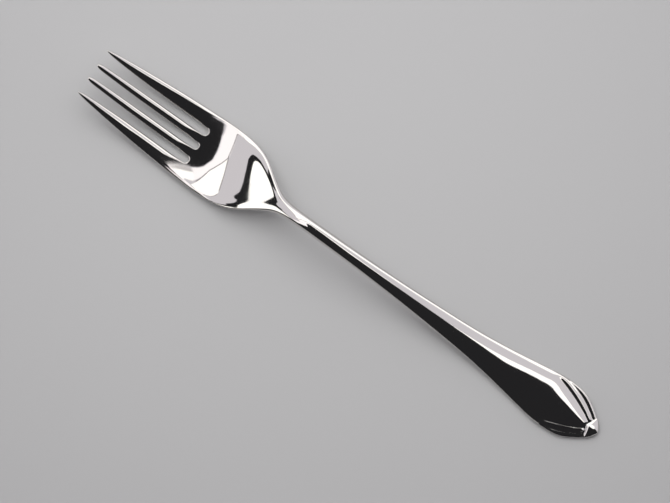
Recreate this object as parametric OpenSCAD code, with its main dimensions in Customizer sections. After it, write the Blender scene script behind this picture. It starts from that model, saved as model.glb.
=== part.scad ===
// A dinner fork, stamped and forged from one blank of stainless steel and polished all over.
// It lies face up on a table, on the back of its palm and on a flat land under its handle.
// +X runs from the tine tips to the end of the handle, +Z is up, and the origin lies on the table
// under the middle of the fork. In every function, s is a distance along the fork from the tips.

/* [Overall] */
// Length from the tine tips to the end of the handle
fork_len = 205; // [195:1:225]
// Height of the top of the neck's arch above the table
crest_h = 16.8; // [13:0.2:20]
// Height of the underside of the tine tips above the table
tip_lift = 9.4; // [6:0.2:13]
// Share of the steel's thickness that stays upright at its rim
rim_share = 0.3; // [0.2:0.05:0.5]

/* [Tines] */
// Length of the tines, from their tips to the ends of the slots
tine_len = 42.4; // [38:0.2:46]
// Width of the slot between the two inner tines
middle_slot_w = 2.38; // [1.8:0.02:2.8]
// Width of the slot between an inner and an outer tine
side_slot_w = 2.64; // [2:0.02:3]
// Width of an inner tine at its root
inner_root_w = 3.07; // [2.6:0.01:3.4]
// Width of an inner tine just behind its nose
inner_tip_w = 1.72; // [1.2:0.02:2]
// Width of an outer tine just behind its nose
outer_tip_w = 1.06; // [0.8:0.02:1.5]
// Distance from the fork's middle to the tip of an inner tine
inner_tip_y = 2.6; // [2.2:0.05:3]
// Distance from the fork's middle to the tip of an outer tine
outer_tip_y = 8.29; // [7.5:0.01:9]
// Thickness of a tine at its root
tine_root_t = 2.2; // [1.8:0.1:2.6]
// Thickness of a tine just behind its nose
tine_tip_t = 1.3; // [1:0.1:1.6]
// Length of the round nose that closes an inner tine
inner_nose_len = 2.2; // [1.5:0.1:4]
// Length of the sharper nose that closes an outer tine
outer_nose_len = 3.2; // [2:0.1:5]

/* [Palm] */
// Greatest width of the head
head_w = 25.6; // [23:0.2:28]
// Distance from the tine tips to the widest place of the head
head_wide_at = 49.6; // [47:0.2:53]
// Thickness of the palm
palm_t = 2; // [1.6:0.1:2.6]
// Height of the palm's edges above its middle
palm_dish = 1.4; // [0.8:0.1:3]
// Distance from the tine tips to the lowest place of the palm, which touches the table
rest_at = 48.5; // [46:0.5:54]

/* [Neck] */
// Distance from the tine tips to the narrowest place of the neck
neck_at = 87.7; // [82:0.5:91]
// Width of the neck at its narrowest
neck_w = 4.58; // [4:0.02:6]
// Thickness of the neck
neck_t = 4.2; // [3.4:0.1:5]
// Distance from the tine tips to the top of the neck's arch
crest_at = 88.3; // [85:0.1:96]

/* [Handle] */
// Greatest width of the handle
handle_w = 18; // [15:0.2:22]
// Distance from the widest place of the handle to its end
handle_wide_len = 19.5; // [17:0.5:22]
// Thickness of the handle halfway along it
handle_t = 3.3; // [2.6:0.1:4]
// Thickness of the handle over its flat land
end_t = 2.8; // [2.4:0.1:3.4]
// Length of the flat land, measured from the end of the handle
land_len = 29; // [26:0.5:34]
// Radius of the corners under the handle
under_r = 2.4; // [1.6:0.1:3.2]

/* [Leaf, petals and bud] */
// Distance from the shoulder, where the petals leave the leaf, to the end of the handle
shoulder_len = 25; // [23:0.5:26]
// Distance from the place where the outer petals begin to the end of the handle
outer_petal_len = 18.2; // [16:0.2:19]
// Length of the tip bud along the fork's middle
bud_len = 4.9; // [4:0.1:6]
// Width of the leaf where the bud's groove cuts it off
leaf_tip_w = 2.2; // [1.6:0.1:3]
// Width across the two inner petals where the bud's groove cuts them off
inner_petal_tip_w = 4.9; // [4:0.1:5.4]
// Width of the bud at the ends of its groove
bud_w = 7.7; // [6.6:0.1:9]
// Distance along the fork by which the bud's groove runs back towards its middle
bud_v_len = 1.95; // [1:0.05:2.6]
// Depth of the groove round the leaf below the leaf's middle
leaf_drop = 0.55; // [0.4:0.05:0.8]
// Depth of the groove between the petals below the leaf's middle
split_drop = 0.9; // [0.7:0.05:1]
// Depth of the groove in front of the bud below the leaf's middle
bud_drop = 0.8; // [0.5:0.05:0.9]
// Height by which a petal's crest rises above the groove beside it
petal_rise = 0.04; // [0.01:0.01:0.1]
// Width of the level ledge at the foot of a step
groove_w = 0.85; // [0.5:0.05:1]
// Width at which a petal starts at the rim
petal_start_w = 0.15; // [0.1:0.05:0.3]
// Depth by which the leaf's middle is lower at its tip than at the shoulder
leaf_tip_drop = 0.2; // [0:0.05:0.4]
// Height of the bud's dome above its groove and rim
bud_rise = 0.42; // [0.2:0.02:0.6]

/* [Hidden] */

// Places along the fork, as distances from the tine tips
handle_wide_at = fork_len - handle_wide_len;
land_at = fork_len - land_len;
shoulder_at = fork_len - shoulder_len;
outer_petal_at = fork_len - outer_petal_len;
bud_at = fork_len - bud_len;
bud_corner_at = bud_at + bud_v_len;
neck_from_share = 0.55;
neck_from = head_wide_at + neck_from_share * (neck_at - head_wide_at);
handle_from = neck_at + 2 * neck_w;

// Places across the fork, as distances from its middle
middle_edge_y = middle_slot_w / 2;
inner_tine_edge_y = middle_edge_y + inner_root_w;
side_slot_y = inner_tine_edge_y + side_slot_w / 2;
outer_tine_edge_y = inner_tine_edge_y + side_slot_w;

// How fast each edge of a tine spreads from its root to its tip
inner_tine_power = 2.15;
outer_tine_power = 3.4;
head_power = 1.6;
// A nose's ellipse is this much longer than the nose, which leaves its tip slightly blunt
nose_blunt_share = 1.02;
// Part of the thickness that a tine keeps at the very tip
nose_t_share = 0.55;

// Half-widths from the widest place of the head, at 1, down to the neck, at 0
shoulder_shares = [
    [0, 1], [0.09, 0.99], [0.17, 0.963], [0.26, 0.902], [0.35, 0.785], [0.43, 0.617], [0.52, 0.402],
    [0.6, 0.222], [0.66, 0.108], [0.72, 0.05], [0.78, 0.024], [0.87, 0.006], [1, 0]
];
// Half-widths from the neck, at 0, up to the widest place of the handle, at 1
handle_shares = [
    [0, 0], [0.06, 0.01], [0.12, 0.017], [0.22, 0.042], [0.32, 0.082], [0.4, 0.121], [0.5, 0.192],
    [0.6, 0.273], [0.68, 0.358], [0.75, 0.468], [0.8, 0.562], [0.85, 0.672], [0.9, 0.787],
    [0.94, 0.875], [0.97, 0.945], [1, 1]
];
// Half-widths from the widest place of the handle, at 1, down to the corners of the bud, at 0
end_shares = [[0, 1], [0.2, 0.99], [0.41, 0.947], [0.61, 0.785], [0.81, 0.42], [0.92, 0.19], [1, 0]];
// The leaf's half-width from the shoulder, at 1, down to its tip, at 0
leaf_shares = [
    [0, 1], [0.12, 0.952], [0.25, 0.872], [0.4, 0.75], [0.55, 0.6], [0.7, 0.42], [0.85, 0.21], [1, 0]
];
// The same for the inner petals' outer edge, from the start of the outer petals to the bud
split_shares = [[0, 1], [0.17, 0.9], [0.38, 0.745], [0.61, 0.52], [0.84, 0.22], [1, 0]];
// Powers of the curve that ends the bud
bud_side_power = 1.35;
bud_end_power = 0.8;

// How strongly the dish bends the steel across, from the tips to the neck. It stays slight up to
// this share of the tines' length.
slim_share = 0.75;
dish_shares = [
    [0, 0.15], [slim_share * tine_len, 0.33], [tine_len, 0.72], [(rest_at + neck_from) / 2, 1],
    [neck_from, 0.95], [neck_at, 0], [fork_len, 0]
];
// Thickness of the steel in the middle of the fork. Where the neck begins, the steel has grown by
// this share from the palm's thickness to the neck's.
shoulder_t_share = 0.75;
thicknesses = [
    [0, tine_tip_t], [tine_len, tine_root_t], [head_wide_at, palm_t],
    [neck_from, mix(palm_t, neck_t, shoulder_t_share)], [neck_at - neck_w, neck_t],
    [neck_at + neck_w, neck_t],
    [(crest_at + land_at) / 2, handle_t], [land_at, end_t], [fork_len, end_t]
];
// Power of the curve that rounds the steel towards its rim: 2 is an ellipse, 9 a flat plate
round_powers = [
    [0, 2.4], [tine_len, 5], [head_wide_at, 9], [neck_from, 5], [neck_at, 2.8],
    [handle_from, 2.5], [(handle_from + fork_len) / 2, 2.1], [fork_len, 2]
];

// Columns across a tine, the palm, and the neck and handle
tine_columns = 10;
palm_columns = 20;
bar_columns = 16;

function square(u) = u * u;
function mix(a, b, u) = a + (b - a) * u;
function clamp01(u) = min(1, max(0, u));

// Even S curves from 0 to 1: the first one turns gently at its ends, the second not at all
function s_curve(u) = u * u * (3 - 2 * u);
function soft_s_curve(u) = u * u * u * (u * (6 * u - 15) + 10);

// Smooth curve through a list of [place, value] pairs, which never swings past the values
function step_slope(list, i) = (list[i + 1][1] - list[i][1]) / (list[i + 1][0] - list[i][0]);
function point_slope(list, i) =
    i == 0 || i == len(list) - 1 ? 0 :
    let (before = step_slope(list, i - 1), after = step_slope(list, i))
    before * after <= 0 ? 0 : 2 * before * after / (before + after);
function smooth_lookup(s, list) =
    let (
        last = len(list) - 2,
        i = min(last, max(0, len([for (pair = list) if (pair[0] <= s) 1]) - 1)),
        span = list[i + 1][0] - list[i][0],
        u = clamp01((s - list[i][0]) / span)
    )
    mix(list[i][1], list[i + 1][1], s_curve(u))
        + span * u * (1 - u) * ((1 - u) * point_slope(list, i) - u * point_slope(list, i + 1));

// Half-width of the whole outline
function head_edge(s) =
    let (tip_edge = outer_tip_y + outer_tip_w / 2)
    head_w / 2 - (head_w / 2 - tip_edge) * pow(1 - s / head_wide_at, head_power);
function bud_edge(s) =
    let (u = clamp01((s - bud_corner_at) / (fork_len - bud_corner_at)))
    bud_w / 2 * pow(1 - pow(u, bud_side_power), bud_end_power);
function half_w(s) =
    s < head_wide_at ? head_edge(s) :
    s < neck_at ? mix(neck_w, head_w,
        smooth_lookup((s - head_wide_at) / (neck_at - head_wide_at), shoulder_shares)) / 2 :
    s < handle_wide_at ? mix(neck_w, handle_w,
        smooth_lookup((s - neck_at) / (handle_wide_at - neck_at), handle_shares)) / 2 :
    s < bud_corner_at ? mix(bud_w, handle_w,
        smooth_lookup((s - handle_wide_at) / (bud_corner_at - handle_wide_at), end_shares)) / 2 :
    bud_edge(s);

// Height of the middle of the steel's thickness, first along the fork's middle, then anywhere
function thickness(s) = smooth_lookup(s, thicknesses);
function spine_z(s) =
    s < rest_at ? palm_t / 2
        + (tip_lift + tine_tip_t / 2 - palm_t / 2) * square((rest_at - s) / rest_at) :
    s < crest_at ? mix(palm_t / 2, crest_h - neck_t / 2,
        soft_s_curve((s - rest_at) / (crest_at - rest_at))) :
    s < land_at ? mix(crest_h - neck_t / 2, end_t / 2,
        s_curve((s - crest_at) / (land_at - crest_at))) :
    end_t / 2;
function mid_z(s, y) =
    spine_z(s) + palm_dish * smooth_lookup(s, dish_shares) * square(2 * y / head_w);

// Shares of the half thickness: rounded by a power of q, the share of the half-width, or by the
// distance from the rim
function round_by_power(q, power) = sqrt(1 - (1 - square(rim_share)) * pow(abs(q), power));
function round_by_distance(gap, radius) =
    sqrt(1 - (1 - square(rim_share)) * square(clamp01(1 - gap / radius)));

// Closed section of the steel at s between two places across, as points round it. The underside
// is rounded like the top, or it is flat with round corners of the radius under.
function section(s, y0, y1, half_t, power, columns, under = 0) =
    let (
        middle = (y0 + y1) / 2,
        reach = (y1 - y0) / 2,
        qs = [for (j = [0 : columns]) -cos(180 * j / columns)],
        top = [for (q = qs) let (y = middle + reach * q)
            [s - fork_len / 2, y, mid_z(s, y) + half_t * round_by_power(q, power)]],
        bottom = [for (j = [columns : -1 : 0]) let (
            q = qs[j],
            y = middle + reach * q,
            curve = under == 0 ? round_by_power(q, power)
                : round_by_distance(reach * (1 - abs(q)), min(under, reach))
        ) [s - fork_len / 2, y, mid_z(s, y) - half_t * curve]]
    )
    concat(top, bottom);

// Solid through a list of closed sections that all have as many points
module loft(sections) {
    count = len(sections[0]);
    last = len(sections) - 1;
    points = [for (ring = sections) each ring];
    sides = [for (i = [0 : last - 1], j = [0 : count - 1]) let (
        a = i * count + j,
        b = i * count + (j + 1) % count
    ) each [[a, b, b + count], [a, b + count, a + count]]];
    start_cap = [for (j = [count - 1 : -1 : 0]) j];
    end_cap = [for (j = [0 : count - 1]) last * count + j];
    polyhedron(points = points, faces = concat(sides, [start_cap, end_cap]), convexity = 6);
}

// Solid between a top sheet and an underside that share their plan. Both are grids of points:
// rows along the fork, and columns from -Y to +Y.
module slab(top, bottom) {
    rows = len(top);
    columns = len(top[0]);
    half = rows * columns;
    points = concat([for (row = top) each row], [for (row = bottom) each row]);
    upper = [for (i = [0 : rows - 2], j = [0 : columns - 2]) let (a = i * columns + j)
        each [[a, a + 1, a + columns + 1], [a, a + columns + 1, a + columns]]];
    lower = [for (face = upper) [half + face[2], half + face[1], half + face[0]]];
    border = concat(
        [for (i = [0 : rows - 2]) i * columns],
        [for (j = [0 : columns - 2]) (rows - 1) * columns + j],
        [for (i = [rows - 1 : -1 : 1]) i * columns + columns - 1],
        [for (j = [columns - 1 : -1 : 1]) j]
    );
    walls = [for (k = [0 : len(border) - 1]) let (
        a = border[k],
        b = border[(k + 1) % len(border)]
    ) each [[a, b, half + b], [a, half + b, half + a]]];
    polyhedron(points = points, faces = concat(upper, lower, walls), convexity = 6);
}

// Places across the fork of a slot's edges, which meet in a half circle at the slot's end
function slot_end(s, slot_w) =
    let (r = slot_w / 2, past = max(0, s - (tine_len - r)) / r)
    sqrt(max(0, 1 - past * past));
function spread(s, root_y, tip_y, power) = mix(root_y, tip_y, pow(1 - s / tine_len, power));
function inner_tine_inside(s) =
    spread(s, middle_edge_y, inner_tip_y - inner_tip_w / 2, inner_tine_power)
        * slot_end(s, middle_slot_w);
function inner_tine_outside(s) =
    mix(side_slot_y, spread(s, inner_tine_edge_y, inner_tip_y + inner_tip_w / 2, inner_tine_power),
        slot_end(s, side_slot_w));
function outer_tine_inside(s) =
    mix(side_slot_y, spread(s, outer_tine_edge_y, outer_tip_y - outer_tip_w / 2, outer_tine_power),
        slot_end(s, side_slot_w));

// Share of its width that a tine has at s, inside the length of its nose
function nose(s, nose_len) = sqrt(1 - square(max(0, nose_len - s) / (nose_len * nose_blunt_share)));

// Stations along a tine: close together on the nose and at the round end of the slots
nose_steps = 5;
tine_steps = 10;
slot_end_steps = 5;
function tine_stations(nose_len) = let (r = side_slot_w / 2) concat(
    [for (i = [0 : nose_steps - 1]) nose_len * (1 - cos(90 * i / nose_steps))],
    [for (i = [0 : tine_steps - 1]) mix(nose_len, tine_len - r, i / tine_steps)],
    [for (i = [0 : slot_end_steps]) tine_len - r * (1 - sin(90 * i / slot_end_steps))]
);
function tine_section(s, inside, outside, nose_len) =
    let (
        middle = (inside + outside) / 2,
        reach = (outside - inside) / 2 * nose(s, nose_len),
        half_t = thickness(s) / 2 * mix(nose_t_share, 1, nose(s, nose_len))
    )
    section(s, middle - reach, middle + reach, half_t, smooth_lookup(s, round_powers), tine_columns);

module inner_tine() {
    color("silver") loft([for (s = tine_stations(inner_nose_len))
        tine_section(s, inner_tine_inside(s), inner_tine_outside(s), inner_nose_len)]);
}

module outer_tine() {
    color("silver") loft([for (s = tine_stations(outer_nose_len))
        tine_section(s, outer_tine_inside(s), half_w(s), outer_nose_len)]);
}

// The same shape on the other side of the fork's middle
module other_side() {
    mirror([0, 1, 0]) children();
}

// Stretch of the fork that is one section wide, between two places along it
module bar(from, to, steps, columns, under = 0) {
    loft([for (i = [0 : steps]) let (s = mix(from, to, i / steps))
        section(s, -half_w(s), half_w(s), thickness(s) / 2, smooth_lookup(s, round_powers),
            columns, under)]);
}

palm_steps = 15;
neck_steps = 20;
handle_steps = 28;

module palm() {
    color("gainsboro") bar(tine_len, neck_from, palm_steps, palm_columns);
}

module neck() {
    color("lightgray") bar(neck_from, handle_from, neck_steps, bar_columns);
}

module handle() {
    color("silver") bar(handle_from, shoulder_at, handle_steps, bar_columns, under_r);
}

// Edges of the leaf and of the inner petals, from the shoulder to the groove in front of the bud.
// The groove is a V in plan, with its point towards the tines.
function bud_groove_at(y) = bud_at + bud_v_len * abs(y) / (bud_w / 2);
leaf_tip_at = bud_groove_at(leaf_tip_w / 2);
split_tip_at = bud_groove_at(inner_petal_tip_w / 2);
function leaf_edge(s) = mix(leaf_tip_w / 2, half_w(shoulder_at) - petal_start_w,
    smooth_lookup((s - shoulder_at) / (leaf_tip_at - shoulder_at), leaf_shares));
function split_edge(s) = s < outer_petal_at ? half_w(s) :
    mix(inner_petal_tip_w / 2, half_w(outer_petal_at) - petal_start_w,
        smooth_lookup((s - outer_petal_at) / (split_tip_at - outer_petal_at), split_shares));

// Rows of the leaf and petals, as shares of the way from the shoulder to the bud's groove. One of
// them lies where the outer petals begin, and the last step is the slope down into the groove.
outer_start_share = (outer_petal_at - shoulder_at) / (split_tip_at - shoulder_at);
slope_start_share = 1 - groove_w / (split_tip_at - shoulder_at);
early_rows = 5;
late_rows = 9;
early_row_shares = [for (i = [0 : early_rows - 1]) mix(0, outer_start_share, i / early_rows)];
late_row_shares = concat(
    [for (i = [0 : late_rows]) mix(outer_start_share, slope_start_share, i / late_rows)], [1]
);
row_shares = concat(early_row_shares, late_row_shares);

// Heights above the middle of the steel
leaf_z = end_t / 2;
rim_z = rim_share * end_t / 2;
leaf_floor_z = leaf_z - leaf_drop;
split_floor_z = leaf_z - split_drop;
bud_floor_z = leaf_z - bud_drop;

// Distance from the rim, and the underside of the handle's end
outline_probe = handle_w / 200;
function outline_slope(s) =
    (half_w(s + outline_probe) - half_w(s - outline_probe)) / (2 * outline_probe);
function rim_gap(s, y) = (half_w(s) - abs(y)) / sqrt(1 + square(outline_slope(s)));
function under_z(s, y) = end_t / 2 * (1 - round_by_distance(max(0, rim_gap(s, y)), under_r));

// A point of the end of the handle, at a height above the middle of the steel or on its underside
function end_point(s, y, z) = [s - fork_len / 2, y, end_t / 2 + z];
function under_point(point) = [point[0], point[1], under_z(point[0] + fork_len / 2, point[1])];
function under_sheet(top) = [for (row = top) [for (point = row) under_point(point)]];

// The petals' and the leaf's heights run down into the bud's groove in their last row
function to_bud_groove(z, row, y) =
    row < 1 ? z : mix(bud_floor_z, rim_z, clamp01(abs(y) / (bud_w / 2)));

// The leaf falls from its middle to the groove round it. At the shoulder its section is still the
// handle's, rounded down to the rim, and over the first rows it becomes a pillow.
leaf_columns = 14;
leaf_power = 2.2;
change_rows_share = 0.42;
function change(row) = s_curve(clamp01(row / change_rows_share));
function leaf_edge_z(row) = mix(rim_z, leaf_floor_z, change(row));
function leaf_crown(row, e) =
    let (
        handle_round = round_by_power(e, smooth_lookup(shoulder_at, round_powers)),
        handle_crown = (handle_round - rim_share) / (1 - rim_share)
    )
    mix(handle_crown, 1 - pow(abs(e), leaf_power), change(row));
function leaf_point(row, e) =
    let (
        edge_s = mix(shoulder_at, leaf_tip_at, row),
        s = mix(shoulder_at, bud_groove_at(e * leaf_tip_w / 2), row),
        y = e * leaf_edge(edge_s),
        z = mix(leaf_edge_z(row), leaf_z - leaf_tip_drop * square(row), leaf_crown(row, e))
    )
    end_point(s, y, to_bud_groove(z, row, y));

module leaf() {
    top = [for (row = row_shares) [for (j = [0 : leaf_columns])
        leaf_point(row, 2 * j / leaf_columns - 1)]];
    color("whitesmoke") slab(top, under_sheet(top));
}

// A petal's profile across: steeply up out of the groove on its inner side, over a crest, and
// gently down to its outer edge. The crest is lower where the petal is narrow.
petal_slope_shares = [0, 0.35, 0.7, 0.9, 1];
widest_wall_share = 0.5;
function petal_row(row, inner, outer, inner_z, outer_z) =
    let (
        width = norm(outer - inner),
        wall_share = min(widest_wall_share, groove_w / width),
        crest_z = max(inner_z, outer_z) + petal_rise * clamp01(width / (2 * groove_w)),
        wall = [for (k = [0 : 1]) [wall_share * k / 2, mix(inner_z, crest_z, k / 2)]],
        slope = [for (k = petal_slope_shares)
            [mix(wall_share, 1, k), mix(crest_z, outer_z, k * k)]]
    )
    [for (pair = concat(wall, slope)) let (place = mix(inner, outer, pair[0]))
        end_point(place[0], place[1], to_bud_groove(pair[1], row, place[1]))];
function leaf_edge_place(row) =
    let (s = mix(shoulder_at, leaf_tip_at, row))
    [s, leaf_edge(s)];
function split_place(row) =
    let (s = mix(shoulder_at, split_tip_at, row))
    [s, split_edge(s)];
function rim_place(row) =
    let (s = mix(shoulder_at, bud_corner_at, row))
    [s, half_w(s)];
function split_z(row) =
    mix(rim_z, split_floor_z, change(row - outer_start_share));

module petal_inner() {
    top = [for (row = row_shares)
        petal_row(row, leaf_edge_place(row), split_place(row), leaf_edge_z(row), split_z(row))];
    color("gainsboro") slab(top, under_sheet(top));
}

// The outer petal starts straight across, and its rim soon takes the rows of the rim's own
start_rows_share = 0.12;
function outer_rim_place(row) =
    mix([outer_petal_at, half_w(outer_petal_at)], rim_place(row),
        clamp01((row - outer_start_share) / start_rows_share));

module petal_outer() {
    top = [for (row = late_row_shares)
        petal_row(row, split_place(row), outer_rim_place(row), split_z(row), rim_z)];
    color("silver") slab(top, under_sheet(top));
}

// The bud: rows fan out from the groove to the rim round the end of the handle. The fan is a
// little less than a half turn, which leaves the bud's corners blunt.
bud_columns = 16;
bud_fan_deg = 81;
bud_row_shares = [0, 0.12, 0.3, 0.55, 0.8, 0.93, 1];
bud_height_shares = [0, 0.6, 1, 1, 0.7, 0.4, 0];
function bud_point(i, j) =
    let (
        q = sin(bud_fan_deg * (2 * j / bud_columns - 1)),
        y = q * bud_w / 2,
        groove = [bud_groove_at(y), y],
        past = pow(1 - pow(abs(q), 1 / bud_end_power), 1 / bud_side_power),
        rim = [mix(bud_corner_at, fork_len, past), y],
        place = mix(groove, rim, bud_row_shares[i]),
        base_z = mix(mix(bud_floor_z, rim_z, abs(q)), rim_z, bud_row_shares[i])
    )
    end_point(place[0], place[1], base_z + bud_rise * bud_height_shares[i] * (1 - q * q));

module tip_bud() {
    top = [for (i = [0 : len(bud_row_shares) - 1]) [for (j = [0 : bud_columns]) bud_point(i, j)]];
    color("lightgray") slab(top, under_sheet(top));
}

other_side() outer_tine();  // tine_outer_left
other_side() inner_tine();  // tine_inner_left
inner_tine();  // tine_inner_right
outer_tine();  // tine_outer_right
palm();
neck();
handle();
leaf();
other_side() petal_inner();  // petal_inner_left
petal_inner();  // petal_inner_right
other_side() petal_outer();  // petal_outer_left
petal_outer();  // petal_outer_right
tip_bud();
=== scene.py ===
# %% [markdown]
# # A dinner fork, polished all over
#
# A dinner fork is one piece of stainless steel. A maker cuts a flat blank, rolls the head thinner
# than the neck, cuts the slots, presses the blank between two dies, and then polishes every face
# until it is a mirror. This lesson builds that one piece as a smooth surface worked out with
# numpy, gives it polished steel, and lights it with a small studio, because all that the eye sees
# of a mirror is what stands round it.

import math

import bpy
import numpy as np
from mathutils import Matrix


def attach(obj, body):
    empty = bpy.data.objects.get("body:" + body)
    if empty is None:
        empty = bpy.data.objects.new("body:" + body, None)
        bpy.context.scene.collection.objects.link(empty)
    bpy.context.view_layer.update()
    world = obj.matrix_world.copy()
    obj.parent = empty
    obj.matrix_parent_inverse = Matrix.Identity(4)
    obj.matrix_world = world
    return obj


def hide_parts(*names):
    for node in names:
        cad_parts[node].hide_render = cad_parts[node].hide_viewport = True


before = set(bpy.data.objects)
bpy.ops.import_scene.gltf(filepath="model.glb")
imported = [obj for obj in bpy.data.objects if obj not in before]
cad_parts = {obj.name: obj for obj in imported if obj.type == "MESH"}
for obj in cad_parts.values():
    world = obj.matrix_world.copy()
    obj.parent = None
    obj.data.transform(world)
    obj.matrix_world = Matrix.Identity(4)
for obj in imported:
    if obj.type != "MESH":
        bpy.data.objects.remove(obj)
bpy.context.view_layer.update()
print("nodes:", ", ".join(sorted(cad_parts)))

# %% [markdown]
# ## The measures of the fork
#
# All measures are in millimetres, as a maker would write them. The letter s stands for a distance
# along the fork from the tips of its tines, and y for a distance to the right of its middle. A name
# with AT or FROM is a place along the fork, and LEN, W, T, R and H are a length, a width, a
# thickness, a radius and a height. Shares and powers have no unit: a share is a part of a whole, and
# a power gives a curve its form. The shapes below are worked out from these numbers and from the
# tables of shares beside each shape.

# %% Measures, in mm
FORK_LEN = 205.0
CREST_H, TIP_LIFT = 16.8, 9.4

TINE_LEN = 42.4
MIDDLE_SLOT_W, SIDE_SLOT_W = 2.38, 2.64
INNER_ROOT_W, INNER_TIP_W, OUTER_TIP_W = 3.07, 1.72, 1.06
INNER_TIP_Y, OUTER_TIP_Y = 2.6, 8.29
TINE_ROOT_T, TINE_TIP_T = 2.2, 1.3
INNER_NOSE_LEN, OUTER_NOSE_LEN = 2.2, 3.2

HEAD_W, HEAD_WIDE_AT = 25.6, 49.6
PALM_T, PALM_DISH, REST_AT = 2.0, 1.4, 48.5
NECK_AT, NECK_W, NECK_T, CREST_AT = 87.7, 4.58, 4.2, 88.3
HANDLE_W, HANDLE_WIDE_AT = 18.0, 185.5
HANDLE_T, END_T, LAND_AT, UNDER_R = 3.3, 2.8, 176.0, 2.4

SHOULDER_AT, OUTER_PETAL_AT = 180.0, 186.8
BUD_AT, BUD_V_LEN, BUD_W = 200.1, 1.95, 7.7
LEAF_TIP_W, INNER_PETAL_TIP_W = 2.2, 4.9
LEAF_DROP, SPLIT_DROP, BUD_DROP = 0.65, 1.1, 0.8
PETAL_RISE, GROOVE_W, LEAF_TIP_DROP, BUD_RISE = 0.077, 0.85, 0.2, 0.42
PETAL_START_W = 0.15

BUD_CORNER_AT = BUD_AT + BUD_V_LEN
NECK_FROM_SHARE = 0.55           # of the way from the head's widest place to the neck
NECK_FROM = HEAD_WIDE_AT + NECK_FROM_SHARE * (NECK_AT - HEAD_WIDE_AT)
print(f"fork {FORK_LEN} mm long, {HEAD_W} mm across the head, {CREST_H} mm high")

# %% [markdown]
# ## Smooth curves
#
# A mirror shows every kink in a surface as a break in its reflections. So each measure runs
# through its known values on a curve with no corner, and is then averaged a little along the
# fork, as the polishing wheel does to the steel. All curves are worked out once, on a fine line of
# places, and are looked up from there.

# %% Curves through known values
def mix(a, b, share):
    """a at share 0, b at share 1, and a straight line between."""
    return a + (b - a) * share


def ease(share):
    """S curve from 0 to 1 that starts and ends level: 3 share^2 - 2 share^3."""
    share = np.clip(share, 0, 1)
    return share * share * (3 - 2 * share)


def soft_ease(share):
    """S curve whose bend also starts and ends at nothing: 6 share^5 - 15 share^4 + 10 share^3."""
    share = np.clip(share, 0, 1)
    return share ** 3 * (share * (6 * share - 15) + 10)


def through(pairs, place):
    """Cubic from point to point. The slope at a point is the harmonic mean of the steps before
    and after it, or level where they point opposite ways, so the curve never overshoots."""
    at, value = np.array(pairs, float).T
    step = np.diff(value) / np.diff(at)
    before, after = step[:-1], step[1:]
    same = before * after > 0
    slope = np.zeros(len(at))
    slope[1:-1][same] = (2 * before * after / np.where(same, before + after, 1))[same]
    i = np.clip(np.searchsorted(at, place, side="right") - 1, 0, len(at) - 2)
    span = at[i + 1] - at[i]
    u = np.clip((place - at[i]) / span, 0, 1)
    return mix(value[i], value[i + 1], ease(u)) + span * u * (1 - u) * (
        (1 - u) * slope[i] - u * slope[i + 1])


LINE_MARGIN, LINE_STEP = 12, 0.02
BELL_END = 2.6                   # where the bell weight has almost gone
LINE = np.arange(-LINE_MARGIN, FORK_LEN + LINE_MARGIN, LINE_STEP)
SPREAD = np.linspace(-BELL_END, BELL_END, 27)
WEIGHT = np.exp(-SPREAD ** 2 / 2) / np.exp(-SPREAD ** 2 / 2).sum()


def averaged(curve, reach):
    """The curve on LINE, each value the bell-weighted mean of the curve within 2.6 reaches."""
    return sum(w * curve(LINE + reach * k) for k, w in zip(SPREAD, WEIGHT))


def look_up(table):
    """A function of s that reads a table laid out on LINE."""
    return lambda s: np.interp(s, LINE, table)


# %% [markdown]
# ## The outline
#
# Seen from above, the fork is one flowing line: the head widens towards its root, draws in
# quickly to the neck, and the handle opens slowly towards its end. Width shares between the known
# widths keep the line easy to change.

# %% Outline of the fork
SHOULDER_SHARES = [(0, 1), (.09, .99), (.17, .963), (.26, .902), (.35, .785), (.43, .617),
                   (.52, .402), (.6, .222), (.66, .108), (.72, .05), (.78, .024), (.87, .006),
                   (1, 0)]
HANDLE_SHARES = [(0, 0), (.06, .01), (.12, .017), (.22, .042), (.32, .082), (.4, .121),
                 (.5, .192), (.6, .273), (.68, .358), (.75, .468), (.8, .562), (.85, .672),
                 (.9, .787), (.94, .875), (.97, .945), (1, 1)]
END_SHARES = [(0, 1), (.2, .99), (.41, .947), (.61, .785), (.81, .42), (.92, .19), (1, 0)]
HEAD_POWER, BUD_SIDE_POWER, BUD_END_POWER = 1.6, 1.35, 0.8
OUTLINE_REACH = 0.8
BUD_BLEND_LEN = 4                # the averaging fades out over this length, to keep the bud's corners


def outline(s):
    """Half-width: a power curve for the head, then shares between two widths for the palm's
    shoulders, the handle and its end."""
    tip = OUTER_TIP_Y + OUTER_TIP_W / 2
    head = HEAD_W / 2 - (HEAD_W / 2 - tip) * np.clip(1 - s / HEAD_WIDE_AT, 0, 2) ** HEAD_POWER
    on_palm = (s - HEAD_WIDE_AT) / (NECK_AT - HEAD_WIDE_AT)
    on_handle = (s - NECK_AT) / (HANDLE_WIDE_AT - NECK_AT)
    on_end = (s - HANDLE_WIDE_AT) / (BUD_CORNER_AT - HANDLE_WIDE_AT)
    palm = mix(NECK_W, HEAD_W, through(SHOULDER_SHARES, on_palm))
    handle = mix(NECK_W, HANDLE_W, through(HANDLE_SHARES, on_handle))
    end = mix(BUD_W, HANDLE_W, through(END_SHARES, on_end))
    return np.select([s < HEAD_WIDE_AT, s < NECK_AT, s < HANDLE_WIDE_AT],
                     [head, palm / 2, handle / 2], end / 2)


def bud_share(s):
    """Share of its half-width that the bud keeps: (1 - u^1.35)^0.8, with u going from 0 at its
    corners to 1 at its end."""
    u = np.clip((s - BUD_CORNER_AT) / (FORK_LEN - BUD_CORNER_AT), 0, 1)
    return (1 - u ** BUD_SIDE_POWER) ** BUD_END_POWER


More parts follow.
